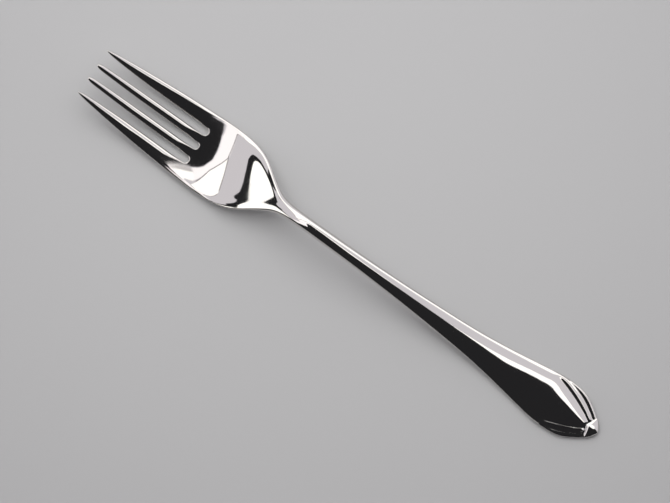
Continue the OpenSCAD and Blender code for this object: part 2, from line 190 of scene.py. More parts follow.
soft_outline = averaged(outline, OUTLINE_REACH)
sharp_outline = outline(np.minimum(LINE, BUD_CORNER_AT))
near_bud = ease((LINE - (BUD_CORNER_AT - BUD_BLEND_LEN)) / BUD_BLEND_LEN)
half_w = look_up(mix(soft_outline, sharp_outline, near_bud) * bud_share(LINE))
print("widths:", [round(float(2 * half_w(s)), 2)
                  for s in (10, HEAD_WIDE_AT, NECK_AT, 150, HANDLE_WIDE_AT, 202)])

# %% [markdown]
# ## The side view and the thickness
#
# From the side, the tines rise in an even curve from the back of the palm, the neck climbs over an
# arch, and the handle comes down to a flat land on the table. The steel is thickest at the neck,
# where the hand's force bends it most.

# %% Side view, thickness and dish
def side_view(s):
    """Height of the middle of the steel: a parabola under the tines, a soft S up to the crest,
    an S down to the land, and level after that."""
    palm_z, crest_z, land_z = PALM_T / 2, CREST_H - NECK_T / 2, END_T / 2
    tines = palm_z + (TIP_LIFT + TINE_TIP_T / 2 - palm_z) * ((REST_AT - s) / REST_AT) ** 2
    neck = mix(palm_z, crest_z, soft_ease((s - REST_AT) / (CREST_AT - REST_AT)))
    handle = mix(crest_z, land_z, ease((s - CREST_AT) / (LAND_AT - CREST_AT)))
    return np.select([s < REST_AT, s < CREST_AT, s < LAND_AT], [tines, neck, handle], land_z)


SHOULDER_T_SHARE = 0.75          # of the way from the palm's thickness to the neck's
SLIM_SHARE = 0.75                # of the tines' length, where the dish is down to a third
THICKNESSES = [(0, TINE_TIP_T), (TINE_LEN, TINE_ROOT_T), (HEAD_WIDE_AT, PALM_T),
               (NECK_FROM, mix(PALM_T, NECK_T, SHOULDER_T_SHARE)),
               (NECK_AT - NECK_W, NECK_T), (NECK_AT + NECK_W, NECK_T),
               ((CREST_AT + LAND_AT) / 2, HANDLE_T), (LAND_AT, END_T), (FORK_LEN, END_T)]
DISH_SHARES = [(0, .15), (SLIM_SHARE * TINE_LEN, .33), (TINE_LEN, .72),
               ((REST_AT + NECK_FROM) / 2, 1), (NECK_FROM, .95), (NECK_AT, 0), (FORK_LEN, 0)]
SIDE_REACH, DISH_REACH = 2.5, 3

spine = look_up(averaged(side_view, SIDE_REACH))
thickness = look_up(averaged(lambda s: through(THICKNESSES, s), SIDE_REACH))
dish = look_up(PALM_DISH * averaged(lambda s: through(DISH_SHARES, s), DISH_REACH))
print("thickness:", [round(float(thickness(s)), 2) for s in (0, TINE_LEN, REST_AT, NECK_AT, LAND_AT)])


def plate(s, y):
    """Height of the middle of the steel: the side view, plus a dish that grows with y squared."""
    return spine(s) + dish(s) * (2 * y / HEAD_W) ** 2


# %% [markdown]
# ## The slots
#
# Three slots part the four tines. Each slot is widest at the tips, because the tines taper, and
# ends in a half circle, which is the shape that the cutting tool leaves and that doesn't start a
# crack. The distance of a point from these edges tells how far the steel is rounded there.

# %% Edges of the slots
MIDDLE_R, SIDE_R = MIDDLE_SLOT_W / 2, SIDE_SLOT_W / 2
INNER_EDGE = MIDDLE_R + INNER_ROOT_W
SIDE_Y = INNER_EDGE + SIDE_R
OUTER_EDGE = SIDE_Y + SIDE_R
INNER_TINE_POWER, OUTER_TINE_POWER = 2.15, 3.4


def tine_edges(s):
    """The inner tine's two edges and the outer tine's inside edge. Each goes from its place at the
    root to its place at the tip with a power of the share of the way: 2.15 and 3.4."""
    way = np.clip(1 - s / (TINE_LEN - SIDE_R), 0, 1)
    return (mix(MIDDLE_R, INNER_TIP_Y - INNER_TIP_W / 2, way ** INNER_TINE_POWER),
            mix(INNER_EDGE, INNER_TIP_Y + INNER_TIP_W / 2, way ** INNER_TINE_POWER),
            mix(OUTER_EDGE, OUTER_TIP_Y - OUTER_TIP_W / 2, way ** OUTER_TINE_POWER))


def slot_gaps(s, y):
    """Distance from the middle slot and from the side slot: across the slot along its length,
    and from the centre of its half circle past that."""
    inner_in, inner_out, outer_in = tine_edges(s)
    past_middle, past_side = s - (TINE_LEN - MIDDLE_R), s - (TINE_LEN - SIDE_R)
    middle = np.where(past_middle > 0, np.hypot(past_middle, y) - MIDDLE_R, y - inner_in)
    centre, reach = (inner_out + outer_in) / 2, (outer_in - inner_out) / 2
    side = np.where(past_side > 0, np.hypot(past_side, y - SIDE_Y) - SIDE_R, abs(y - centre) - reach)
    return middle, side


# %% [markdown]
# ## How the steel rounds towards its edges
#
# The tines are rounded right across, the palm is flat with soft edges, and the neck and handle
# have a crown like a flat pebble. One rule covers them all: within a certain distance of an edge
# the steel thins on a curve that starts level and ends upright. Only that distance and the power
# of the curve change along the fork.

# %% Rounding
ROUND_REACHES = [(0, 1.6), (34, 1.6), (43, 1.1), (47, 0.8), (HEAD_WIDE_AT, 0.9), (59, 4.8),
                 (64, 4.6), (68, 3.4), (NECK_FROM, 3.0), (NECK_AT, 6), (100, 30), (FORK_LEN, 30)]
ROUND_POWERS = [(0, 2.4), (TINE_LEN, 2.4), (HEAD_WIDE_AT, 2.8), (NECK_FROM, 2.8), (NECK_AT, 2.6),
                (97, 2.5), (150, 2.1), (FORK_LEN, 2)]
SLOT_REACHES = [(0, 1.6), (34, 1.5), (39, 0.4), (41, 0.12), (FORK_LEN, 0.12)]
SLOT_POWER = 2.4
SLOT_PAST = 2                    # the slots round the steel no further than this behind them
PALM_BLEND_LEN = 8               # over which the two halves of the head become one palm
UNDER_FROM, UNDER_BLEND_LEN = 92, 20
LEAST_HALF_W, TINY = 0.1, 1e-6   # they keep the divisions below away from nothing
ROUND_AVERAGE, SLOT_AVERAGE = 2, 0.5     # reaches of the averaging

round_reach = look_up(averaged(lambda s: through(ROUND_REACHES, s), ROUND_AVERAGE))
slot_reach = look_up(averaged(lambda s: through(SLOT_REACHES, s), SLOT_AVERAGE))
round_power = look_up(averaged(lambda s: through(ROUND_POWERS, s), ROUND_AVERAGE))
half_w_slope = look_up(np.gradient(half_w(LINE), LINE))


def lesser(a, b, power=8):
    """Smooth minimum: a b / (a^power + b^power)^(1/power)."""
    return a * b / (a ** power + b ** power) ** (1 / power)


def rounded(gap, reach, power):
    """Share of the thickness left at a gap from an edge: sqrt(1 - (1 - gap/reach)^power)."""
    return np.sqrt(1 - (1 - np.clip(gap / reach, 0, 1)) ** power)


def steel_share(s, y, under=False):
    """Share of the half thickness at (s, y): the product of the roundings from the outline and,
    near the slots, from both slots. Under the handle the corners have a fixed small radius."""
    y = abs(y)
    inner_in, inner_out, outer_in = tine_edges(s)
    inner_half = (inner_out - inner_in) / 2
    outer_half = np.maximum((half_w(s) - outer_in) / 2, LEAST_HALF_W)
    gap = (half_w(s) - y) / np.sqrt(1 + half_w_slope(s) ** 2)
    reach = mix(lesser(outer_half, round_reach(s)), lesser(half_w(s) + TINY, round_reach(s)),
                ease((s - TINE_LEN) / PALM_BLEND_LEN))
    power = round_power(s)
    if under:
        on_handle = ease((s - UNDER_FROM) / UNDER_BLEND_LEN)
        reach = mix(reach, np.minimum(UNDER_R, half_w(s) + TINY), on_handle)
        power = mix(power, 2, on_handle)
    middle_gap, side_gap = slot_gaps(s, y)
    inner_reach = lesser(inner_half, slot_reach(s))
    side_reach = np.where(y < (inner_out + outer_in) / 2, inner_reach,
                          lesser(outer_half, slot_reach(s)))
    slots = rounded(middle_gap, inner_reach, SLOT_POWER) * rounded(side_gap, side_reach, SLOT_POWER)
    return rounded(gap, reach, power) * np.where(s < TINE_LEN + SLOT_PAST, slots, 1)


# %% [markdown]
# ## The leaf, the petals and the bud
#
# The handle ends in a traditional ornament: the handle runs on as a long leaf, two petals open on
# each side of it, and a small plain bud closes the end. The die presses it as steps that go down
# outwards: the leaf is a low pillow, and each petal starts at the foot of its neighbour with a
# nearly level ledge, as wide as GROOVE_W, and then falls away on a slope that steepens. A ledge
# faces nearly straight up and a slope leans outwards, so they mirror different parts of the room,
# and that draws the thin lines of the ornament. It is written as a height over the middle of the
# steel, and averaged over about a tenth of a millimetre, which is as sharp as polishing leaves an
# edge.

# %% Lines of the ornament
LEAF_POWER = 2.2
RIM_SHARE = 0.2                  # height of the ornament's rim, as a share of the half thickness
WIDEST_LEDGE_SHARE = 0.5         # a narrow petal gives at most half its width to its ledge
SPLIT_EASE_LEN = 5
SPLIT_OUT_BY, SPLIT_OUT_LEN = 3, 2
CARVED_LEN, END_RIM_R = 9, 0.5   # the carving grows out of the plain handle over this length
SMALLEST = 1e-3                  # the least width or length of a form, so none is divided by nothing
LEAF_SHARES = [(0, 1), (.12, .952), (.25, .872), (.4, .75), (.55, .6), (.7, .42), (.85, .21), (1, 0)]
SPLIT_SHARES = [(0, 1), (.17, .9), (.38, .745), (.61, .52), (.84, .22), (1, 0)]


def bud_groove(y):
    """The groove in front of the bud is a V in plan: it starts at BUD_AT and runs back with |y|."""
    return BUD_AT + BUD_V_LEN * abs(y) / (BUD_W / 2)


LEAF_TIP_AT, SPLIT_TIP_AT = bud_groove(LEAF_TIP_W / 2), bud_groove(INNER_PETAL_TIP_W / 2)


def leaf_edge(s):
    """Half-width of the leaf: shares between that of its tip and that of the shoulder."""
    return mix(LEAF_TIP_W / 2, half_w(SHOULDER_AT) - PETAL_START_W,
               through(LEAF_SHARES, (s - SHOULDER_AT) / (LEAF_TIP_AT - SHOULDER_AT)))


def split_edge(s):
    """Where the outer petals leave the inner ones. Before they begin, the line moves out by 3 mm
    within 2 mm, so that it lies past the rim."""
    line = mix(INNER_PETAL_TIP_W / 2, half_w(OUTER_PETAL_AT) - PETAL_START_W,
               through(SPLIT_SHARES, (s - OUTER_PETAL_AT) / (SPLIT_TIP_AT - OUTER_PETAL_AT)))
    return line + SPLIT_OUT_BY * np.clip((OUTER_PETAL_AT - s) / SPLIT_OUT_LEN, 0, 1)


def petal(y, inner, outer, inner_z, outer_z):
    """A ledge that rises a little in a straight line to a low crest, and then a slope: a fall with
    the cube of the share of the way from the crest to the petal's outer edge."""
    width = np.maximum(outer - inner, SMALLEST)
    ledge = np.minimum(WIDEST_LEDGE_SHARE, GROOVE_W / width)
    crest = np.maximum(inner_z, outer_z) + PETAL_RISE * np.clip(width / (2 * GROOVE_W), 0, 1)
    share = np.clip((y - inner) / width, 0, 1)
    slope = np.clip((share - ledge) / (1 - ledge), 0, 1)
    return np.where(share < ledge, mix(inner_z, crest, share / ledge), mix(crest, outer_z, slope ** 3))


BUD_HEIGHTS = [(0, 0), (.12, .6), (.3, 1), (.55, 1), (.8, .7), (.93, .4), (1, 0)]


def relief(s, y):
    """Height of the ornament over the middle of the steel, with sharp edges. The leaf falls with
    (y / its half-width)^2.2, the petals follow it, and the bud rises between its V groove and its
    end with BUD_HEIGHTS times 1 - q^2, where q is y as a share of the bud's half-width."""
    y = abs(y)
    w = half_w(s)
    leaf_z = END_T / 2
    rim_z = RIM_SHARE * leaf_z
    row = np.clip((s - SHOULDER_AT) / (LEAF_TIP_AT - SHOULDER_AT), 0, 1)
    leaf = leaf_edge(s)
    split = np.minimum(split_edge(s), w)
    groove_z = leaf_z - LEAF_DROP
    split_z = mix(rim_z, leaf_z - SPLIT_DROP, ease((s - OUTER_PETAL_AT) / SPLIT_EASE_LEN))
    middle_z = leaf_z - LEAF_TIP_DROP * row ** 2
    height = mix(groove_z, middle_z, 1 - np.clip(y / leaf, 0, 1) ** LEAF_POWER)
    height = np.where(y > leaf, petal(y, leaf, split, groove_z, split_z), height)
    height = np.where(y > split, petal(y, split, w, split_z, rim_z), height)
    q = np.clip(y / (BUD_W / 2), 0, 1)
    floor_z = mix(leaf_z - BUD_DROP, rim_z, q)
    height = mix(floor_z, height, np.clip((bud_groove(y) - s) / GROOVE_W, 0, 1))
    end = mix(BUD_CORNER_AT, FORK_LEN, (1 - q ** (1 / BUD_END_POWER)) ** (1 / BUD_SIDE_POWER))
    past = np.clip((s - bud_groove(y)) / np.maximum(end - bud_groove(y), SMALLEST), 0, 1)
    bud = mix(floor_z, rim_z, past) + BUD_RISE * through(BUD_HEIGHTS, past) * (1 - q * q)
    return np.where(s > bud_groove(y), bud, height)


def soft_relief(s, y, reach=0.12):
    """The relief averaged with a bell weight over five places each way."""
    places = np.array([-1.6, -.8, 0, .8, 1.6])
    weights = np.exp(-places ** 2 / 2) / np.exp(-places ** 2 / 2).sum()
    return sum(a * b * relief(s + reach * i, y + reach * j)
               for i, a in zip(places, weights) for j, b in zip(places, weights))


def top_z(s, y):
    """Upper face: the plate plus the rounded half thickness, or the ornament past the shoulder."""
    plain = thickness(s) / 2 * steel_share(s, y)
    gap = np.maximum(half_w(s) - abs(y), 0) / np.sqrt(1 + half_w_slope(s) ** 2)
    end = s > SHOULDER_AT - 1
    ornament = np.where(end, soft_relief(np.where(end, s, SHOULDER_AT), y), 0)
    carved = ornament * rounded(gap, END_RIM_R, 2)
    return plate(s, y) + mix(plain, carved, ease((s - SHOULDER_AT) / CARVED_LEN))


def under_z(s, y):
    """Underside: the plate minus the rounded half thickness, plain to its end."""
    return plate(s, y) - thickness(s) / 2 * steel_share(s, y, under=True)


# %% [markdown]
# ## A grid that follows the shape
#
# The surface is a grid of rows across and columns along the fork. Each tine is a strip of
# nineteen columns of points, close together at its edges, where the steel turns down. Behind the
# slots the four strips join, and on the handle the same columns drift until they lie along the
# edges of the leaf and the petals, so that every crease of the ornament has a line of points on it.
# Rows stand closest together where the shape turns quickest: at the tips, at the ends of the slots,
# in the ornament and at the end of the bud.

# %% Rows
def steps(start, end, count, power=1.0):
    """count places from start towards end, without the end, crowded at the start by the power."""
    return start + (end - start) * (np.arange(count) / count) ** power


NOSE_COUNT, TINE_COUNT, SLOT_END_COUNT, ROOT_COUNT, END_COUNT = 12, 76, 10, 16, 16
ROOT_LEN, ROOT_POWER, END_LEN = 3, 1.4, 1.2
STRETCHES = [(45.4, 80, 96), (80, 178, 130), (178, 199, 110), (199, 203.8, 64)]  # from, to, count

NOSE_ROWS = OUTER_NOSE_LEN * (1 - np.cos(np.pi / 2 * np.arange(NOSE_COUNT) / NOSE_COUNT))
SLOT_END_ROWS = TINE_LEN - SIDE_R * (
    1 - np.sin(np.pi / 2 * np.arange(SLOT_END_COUNT) / SLOT_END_COUNT))
TINE_ROWS = np.concatenate([NOSE_ROWS, steps(OUTER_NOSE_LEN, TINE_LEN - SIDE_R, TINE_COUNT),
                            SLOT_END_ROWS, [TINE_LEN]])
ROOT_ROWS = TINE_LEN + ROOT_LEN * steps(0, 1, ROOT_COUNT, ROOT_POWER)[1:]
END_ROWS = FORK_LEN - END_LEN * (1 - np.arange(1, END_COUNT + 1) / END_COUNT) ** 2
BODY_ROWS = np.concatenate([[TINE_LEN], ROOT_ROWS] + [steps(*stretch) for stretch in STRETCHES]
                           + [END_ROWS])
print(len(TINE_ROWS), "rows on the tines,", len(BODY_ROWS), "behind them")

# %% Columns
DRIFT_FROM, DRIFT_LEN = 95, 77
LAST_COLUMNS_AT = 200.4          # past this place the columns keep their shares of the half-width
LEAST_RIM_W, LEAST_GAP, LEAST_LEDGE_W = 0.9, 0.25, 0.3   # they keep the columns in their order
STRIP_COUNT = 19
LEAF_COUNT, LEDGE_COUNT, SLOPE_COUNT, RIM_COUNT = 12, 4, 6, 11
ACROSS = np.sin(np.linspace(-np.pi / 2, np.pi / 2, STRIP_COUNT))


def strip(low, high):
    """Places of one strip's 19 columns, close together at both edges: the sine of even angles."""
    return (low + high)[:, None] / 2 + (high - low)[:, None] / 2 * ACROSS


def head_columns(s):
    """37 columns from the middle to the right edge: an inner and an outer strip."""
    middle, side = 0 * s, SIDE_Y * half_w(s) / half_w(TINE_LEN)
    return np.hstack([strip(middle, side), strip(side, half_w(s))[:, 1:]])


def end_columns(s):
    """37 columns set out along the leaf's edge, the end of its ledge, the split between the
    petals, the end of its ledge and the rim, each kept a little inside the next."""
    at = np.minimum(s, LAST_COLUMNS_AT)
    w = half_w(at)
    split_ledge = np.minimum(split_edge(at) + GROOVE_W, w - LEAST_RIM_W)
    split = np.minimum(split_edge(at), split_ledge - LEAST_GAP)
    leaf_ledge = np.minimum(leaf_edge(at) + GROOVE_W, split - LEAST_GAP)
    leaf = np.minimum(leaf_edge(at), leaf_ledge - LEAST_LEDGE_W)
    parts = [leaf[:, None] * np.sin(np.pi / 2 * np.arange(LEAF_COUNT) / LEAF_COUNT)]
    for low, high, count in ((leaf, leaf_ledge, LEDGE_COUNT), (leaf_ledge, split, SLOPE_COUNT),
                             (split, split_ledge, LEDGE_COUNT)):
        parts.append(low[:, None] + (high - low)[:, None] * np.arange(count) / count)
    to_rim = (w - split_ledge)[:, None] * np.sin(np.pi / 2 * np.arange(RIM_COUNT) / (RIM_COUNT - 1))
    parts.append(split_ledge[:, None] + to_rim)
    return np.hstack(parts) / w[:, None] * half_w(s)[:, None]


def body_columns(s):
    """All 73 columns behind the slots: the head's drift into the end's between 95 and 172 mm."""
    right = mix(head_columns(s), end_columns(s), ease((s - DRIFT_FROM) / DRIFT_LEN)[:, None])
    return np.hstack([-right[:, :0:-1], right])


# %% Points of the upper face and of the underside
NOSE_T_POWER = 0.6


def tine_grid(s, low, high, nose_len):
    """Columns across one tine. With u from 1 at the tip to 0 behind the nose, its width shrinks by
    the ellipse sqrt(1 - u^2), and its thickness by that share to the power 0.6."""
    u = np.clip(nose_len - s, 0, nose_len) / nose_len
    nose = np.sqrt(np.clip(1 - u ** 2, 0, 1))[:, None]
    full = strip(low, high)
    centre = (low + high)[:, None] / 2
    y = centre + (full - centre) * nose
    along = np.broadcast_to(s[:, None], y.shape)
    half = thickness(along) / 2 * np.minimum(1, nose ** NOSE_T_POWER)
    up = plate(along, y) + half * steel_share(along, full)
    down = plate(along, y) - half * steel_share(along, full, under=True)
    return along, y, up, down


def slot_side(s, edge, centre, radius):
    """A slot's edge, drawn in to the slot's middle line along its round end."""
    past = np.clip((s - (TINE_LEN - radius)) / radius, 0, 1)
    return mix(centre, edge, np.sqrt(1 - past ** 2))


inner_in, inner_out, outer_in = tine_edges(TINE_ROWS)
inner_in = slot_side(TINE_ROWS, inner_in, 0, MIDDLE_R)
inner_out = slot_side(TINE_ROWS, inner_out, SIDE_Y, SIDE_R)
outer_in = slot_side(TINE_ROWS, outer_in, SIDE_Y, SIDE_R)

right_tines = [tine_grid(TINE_ROWS, inner_in, inner_out, INNER_NOSE_LEN),
               tine_grid(TINE_ROWS, outer_in, half_w(TINE_ROWS), OUTER_NOSE_LEN)]
left_tines = [(s[:, ::-1], -y[:, ::-1], up[:, ::-1], down[:, ::-1]) for s, y, up, down in right_tines]

body_y = body_columns(BODY_ROWS)
body_s = np.broadcast_to(BODY_ROWS[:, None], body_y.shape)
body = (body_s, body_y, top_z(body_s, body_y), under_z(body_s, body_y))
patches = left_tines + right_tines + [body]
heights = np.concatenate([z.ravel() for patch in patches for z in patch[2:]])
print("lowest and highest point:", round(float(heights.min()), 3), round(float(heights.max()), 3))

# %% [markdown]
# ## One closed skin
#
# The patches become one mesh. Points that lie at the same place, such as the rim, where the upper
# face meets the underside, and the ends of the slots, are welded into one, and a face that has
# shrunk to a line is left out. What remains is a closed skin with its faces outwards.

# %% Faces of the grids
def grid_faces(rows, columns, first, flip):
    """Quads of a grid of points whose numbers start at first, turned over for the underside."""
    number = first + np.arange(rows * columns).reshape(rows, columns)
    around = [number[:-1, :-1], number[1:, :-1], number[1:, 1:], number[:-1, 1:]]
    quad = np.stack(around, -1).reshape(-1, 4)
    return quad[:, ::-1] if flip else quad


points, faces, first = [], [], 0
for s, y, up, down in patches:
    for z, flip in ((up, False), (down, True)):
        points.append(np.stack([s - FORK_LEN / 2, y, z], -1).reshape(-1, 3))
        faces.append(grid_faces(*s.shape, first, flip))
        first += s.size
points, faces = np.vstack(points), np.vstack(faces)

# %% Weld
WELD_MM = 0.000371               # an odd step, so that no round measure falls between two steps
keys = np.round(points / WELD_MM).astype(np.int64)
_, kept, merged = np.unique(keys, axis=0, return_index=True, return_inverse=True)
merged = merged.reshape(-1)[faces]
corners = np.sort(merged, axis=1)
doubled = (np.diff(corners, axis=1) == 0).sum(1)
quads = merged[doubled == 0]
thin = merged[doubled == 1]
shift = np.argmax(thin == np.roll(thin, -1, axis=1), axis=1)
triangles = thin[np.arange(len(thin))[:, None], (shift[:, None] + np.array([1, 2, 3])) % 4]
skin = points[kept] / 1000
print(len(skin), "points,", len(quads), "quads and", len(triangles), "triangles")

# %% Mesh of the fork
mesh = bpy.data.meshes.new("fork_steel")
mesh.from_pydata(skin.tolist(), [], quads.tolist() + triangles.tolist())
mesh.validate()
mesh.polygons.foreach_set("use_smooth", np.ones(len(mesh.polygons), bool))
mesh.update()
fork = bpy.data.objects.new("fork_steel", mesh)
bpy.context.scene.collection.objects.link(fork)
edge_uses = np.zeros(len(mesh.edges), int)
loop_edges = np.zeros(len(mesh.loops), int)
mesh.loops.foreach_get("edge_index", loop_edges)
np.add.at(edge_uses, loop_edges, 1)
print("edges not shared by two faces:", int((edge_uses != 2).sum()))

# %% [markdown]
# ## Polished stainless steel
#
# The fork is 18/10 stainless steel: iron with about 18 parts chromium and 10 parts nickel, buffed
# to a mirror. Such a mirror gives back about two thirds of the light, with a touch less blue.
#
# Buffing never leaves it perfect. Clouds of slightly duller steel show where the mop pressed less,
# fine lines run along the fork, the way it was drawn over the mop, and the surface keeps a slight
# waviness from the die. All three are kept faint: they soften the edges of the reflections a little
# and otherwise leave a mirror. Each pattern has a real size in millimetres, in the fork's own
# coordinates, so it stays with the steel however the fork is turned.

# %% Material
def linear(hex_colour):
    """sRGB hex colour as linear numbers."""
    part = np.array([int(hex_colour[i:i + 2], 16) / 255 for i in (1, 3, 5)])
    return tuple(np.where(part <= 0.04045, part / 12.92, ((part + 0.055) / 1.055) ** 2.4)) + (1.0,)


def add_node(tree, kind, inputs=None, **settings):
    """Adds a node, sets its settings, and fills or links its inputs by name or number."""
    node = tree.nodes.new(kind)
    for name, value in settings.items():
        setattr(node, name, value)
    for name, value in (inputs or {}).items():
        if isinstance(value, bpy.types.NodeSocket):
            tree.links.new(value, node.inputs[name])
        else:
            node.inputs[name].default_value = value
    return node


MM = 0.001
HAZE_MM = 14                     # width of the duller clouds
MOP_LINE_MM = 0.5                # real lines are 0.02 mm wide, too fine to show, so coarser here
MOP_LINE_LEN_MM = 40
MOP_LINE_DEPTH_MM = 0.0008
MOP_LINE_SHARE = 0.35            # of the lines in the dullness, the rest is the clouds'
NOISE_LOW, NOISE_HIGH = 0.3, 0.7 # the part of the noise's range that is spread over the dullness
SHARPEST, DULLEST = 0.02, 0.065  # roughness of a mirror polish, which keeps every edge clear
SWELL_MM, SWELL_DEPTH_MM = 7, 0.015

steel = bpy.data.materials.new("polished_stainless_steel")
steel.use_nodes = True
tree = steel.node_tree
shader = tree.nodes["Principled BSDF"]
shader.inputs["Base Color"].default_value = linear("#D6D3D0")
shader.inputs["Metallic"].default_value = 1.0

place = add_node(tree, "ShaderNodeTexCoord").outputs["Object"]
haze = add_node(tree, "ShaderNodeTexNoise",
                {"Vector": place, "Scale": 1 / (HAZE_MM * MM), "Detail": 3.0})
across = 1 / (MOP_LINE_MM * MM)
stretched = add_node(tree, "ShaderNodeMapping",
                     {"Vector": place, "Scale": (1 / (MOP_LINE_LEN_MM * MM), across, across)})
mop_lines = add_node(tree, "ShaderNodeTexNoise",
                     {"Vector": stretched.outputs[0], "Scale": 1.0, "Detail": 2.0})
dullness = add_node(tree, "ShaderNodeMix",
                    {"Factor": MOP_LINE_SHARE, "A": haze.outputs[0], "B": mop_lines.outputs[0]},
                    data_type="FLOAT")
roughness = add_node(tree, "ShaderNodeMapRange",
                     {"Value": dullness.outputs[0], "From Min": NOISE_LOW, "From Max": NOISE_HIGH,
                      "To Min": SHARPEST, "To Max": DULLEST})
tree.links.new(roughness.outputs[0], shader.inputs["Roughness"])

swell = add_node(tree, "ShaderNodeTexNoise",
                 {"Vector": place, "Scale": 1 / (SWELL_MM * MM), "Detail": 1.0})
swelling = add_node(tree, "ShaderNodeBump",
                    {"Height": swell.outputs[0], "Distance": SWELL_DEPTH_MM * MM, "Strength": 1.0})
lines = add_node(tree, "ShaderNodeBump",
                 {"Height": mop_lines.outputs[0], "Distance": MOP_LINE_DEPTH_MM * MM,
                  "Strength": 1.0, "Normal": swelling.outputs[0]})
tree.links.new(lines.outputs[0], shader.inputs["Normal"])
fork.data.materials.append(steel)
print("steel:", len(tree.nodes), "nodes, roughness", SHARPEST, "to", DULLEST)

# %% Place of the fork in the model
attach(fork, "root")
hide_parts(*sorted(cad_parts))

# %% [markdown]
# ## The floor
#
# The fork lies on a plain sheet of matt grey paper, so large that the camera sees no edge of it.
# Matt paper throws light back nearly evenly to all sides, so it shows no reflections, only the
# fork's soft shadow.

# %% Floor
HALF_SIDE, MATT = 3.0, 0.9       # in metres, and the roughness of matt paper
floor_mesh = bpy.data.meshes.new("studio_floor")
floor_mesh.from_pydata([(-HALF_SIDE, -HALF_SIDE, 0), (HALF_SIDE, -HALF_SIDE, 0),
                        (HALF_SIDE, HALF_SIDE, 0), (-HALF_SIDE, HALF_SIDE, 0)], [], [(0, 1, 2, 3)])
floor = bpy.data.objects.new("studio_floor", floor_mesh)
bpy.context.scene.collection.objects.link(floor)
paper = bpy.data.materials.new("matt_grey_paper")
paper.use_nodes = True
paper.node_tree.nodes["Principled BSDF"].inputs["Base Color"].default_value = linear("#ADADAC")
paper.node_tree.nodes["Principled BSDF"].inputs["Roughness"].default_value = MATT
floor.data.materials.append(paper)
print("floor", 2 * HALF_SIDE, "m wide")

# %% [markdown]
# ## The camera
#
# The photograph looks almost straight down through a long lens, with the fork lying across the
# picture from upper left to lower right.

# %% Camera
AZIMUTH, ELEVATION = math.radians(35.6), math.radians(89)
BACK = np.array([math.sin(AZIMUTH) * math.cos(ELEVATION), -math.cos(AZIMUTH) * math.cos(ELEVATION),
                 math.sin(ELEVATION)])
RIGHT = np.array([math.cos(AZIMUTH), math.sin(AZIMUTH), 0])
UP = np.cross(BACK, RIGHT)
MM_PER_PIXEL, PIXELS_WIDE, PIXELS_HIGH = 0.3302, 670, 503
FORK_MIDDLE_PIXEL = (345.8, 252.7)
AIM_HEIGHT, DISTANCE = 0.005, 1.3        # in metres
SENSOR_MM = 36

aim = np.array([0, 0, AIM_HEIGHT]) + MM_PER_PIXEL / 1000 * (
    (PIXELS_WIDE / 2 - FORK_MIDDLE_PIXEL[0]) * RIGHT - (PIXELS_HIGH / 2 - FORK_MIDDLE_PIXEL[1]) * UP)
camera_data = bpy.data.cameras.new("camera")
camera_data.sensor_width = SENSOR_MM
camera_data.lens = SENSOR_MM * DISTANCE / (MM_PER_PIXEL / 1000 * PIXELS_WIDE)
camera_data.clip_end = 20
camera = bpy.data.objects.new("camera", camera_data)
bpy.context.scene.collection.objects.link(camera)
turn = np.eye(4)
turn[:3, 0], turn[:3, 1], turn[:3, 2], turn[:3, 3] = RIGHT, UP, BACK, aim + DISTANCE * BACK
camera.matrix_world = Matrix(turn.tolist())
bpy.context.scene.camera = camera
print("lens", round(camera_data.lens, 1), "mm")

# %% [markdown]
# ## The studio
#
# A mirror shows the room and not itself, so the look of polished steel is made with cards. Paper
# panels with light behind them stand round the table, with thin grey poles between them and one
# dark post on the left, and a black velvet curtain with a dull hem hangs on the side of the fork's
# lower edge. Where the steel bends, it gathers each card into the streaks that tell the eye it is
# metal.
#
# Each card is written on a flat map of the room: the middle is straight above the table, towards
# the camera, one unit is the horizon, and the picture's right and up are the map's. It is the map
# that a small steel ball under the camera would show.

# %% Places on the map of the room
TABLE = np.array([0, 0, 0.01])   # the middle of the fork, in metres


def towards(places):
    """Directions of map places (a, b), by the rule that opens a ball onto a flat map:
    (2a right + 2b up + (1 - a^2 - b^2) back) / (1 + a^2 + b^2)."""
    a, b = np.array(places, float).T[:, :, None]
    size = a * a + b * b
    return (2 * a * RIGHT + 2 * b * UP + (1 - size) * BACK) / (1 + size)


def card(name, material, distance, near, far):
    """A bent sheet between two lines of map places with as many points each, at a distance in
    metres. It stays out of the picture and casts no shadow, so that only its reflection in the
    steel shows. Black velvet also counts for the floor, which it keeps from getting light."""
    corners = TABLE + distance * np.vstack([towards(near), towards(far)])
    count = len(near)
    quads = [(i, i + 1, count + i + 1, count + i) for i in range(count - 1)]
    sheet = bpy.data.meshes.new(name)
    sheet.from_pydata(corners.tolist(), [], quads)
    thing = bpy.data.objects.new(name, sheet)
    bpy.context.scene.collection.objects.link(thing)
    thing.data.materials.append(material)
    thing.visible_camera = False
    thing.visible_shadow = False
    thing.visible_diffuse = material is velvet
    return thing


# %% Paper, poles and velvet
def glowing(name, hex_colour, strength):
    """Paper lit from behind, or a pole or cloth that gives back a little light: it only glows, and on
    a pole or cloth that glow is painted light.
    """
    material = bpy.data.materials.new(name)
    material.use_nodes = True
    nodes = material.node_tree
    nodes.nodes.clear()
    glow = add_node(nodes, "ShaderNodeEmission", {"Color": linear(hex_colour), "Strength": strength})
    add_node(nodes, "ShaderNodeOutputMaterial", {"Surface": glow.outputs[0]})
    return material


white_paper = glowing("lit_white_paper", "#FFFEFB", 1.7)
warm_paper = glowing("lit_warm_paper", "#FDFAFC", 1.55)
# The grey poles, the black velvet and its dull hem glow: painted light in place of the room's light
# that they would catch
glowing_pole = glowing("glowing_grey_pole", "#B0ABAE", 0.75)
dim_paper = glowing("dim_paper", "#DDDADB", 1.0)
dull_velvet = glowing("dull_velvet", "#4A464B", 1.0)
velvet = glowing("black_velvet", "#2A2A2C", 1.0)

